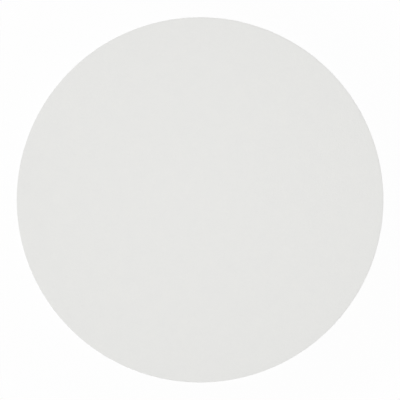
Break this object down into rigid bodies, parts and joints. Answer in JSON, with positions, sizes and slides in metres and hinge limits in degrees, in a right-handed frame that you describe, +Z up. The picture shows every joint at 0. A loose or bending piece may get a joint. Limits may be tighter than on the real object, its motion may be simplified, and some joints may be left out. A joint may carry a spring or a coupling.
{
  "type": "filter paper disc",
  "caption": "Flat round sheet of off-white cotton-fibre filter paper with a die-cut rim, laid in a funnel or folded to a cone to strain a liquid.",
  "frame": {"origin": "centre of the underside, the face that the disc lies on", "axes": "+Z up through the sheet, out of its upper face; X and Y lie in the sheet, which is round, so nothing sets them apart"},
  "size_m": [0.11, 0.11, 0.0002],
  "materials": {
    "filter_paper": "matte"
  },
  "bodies": {
    "root": {"filter_disc": "filter_paper"}
  },
  "joints": []
}
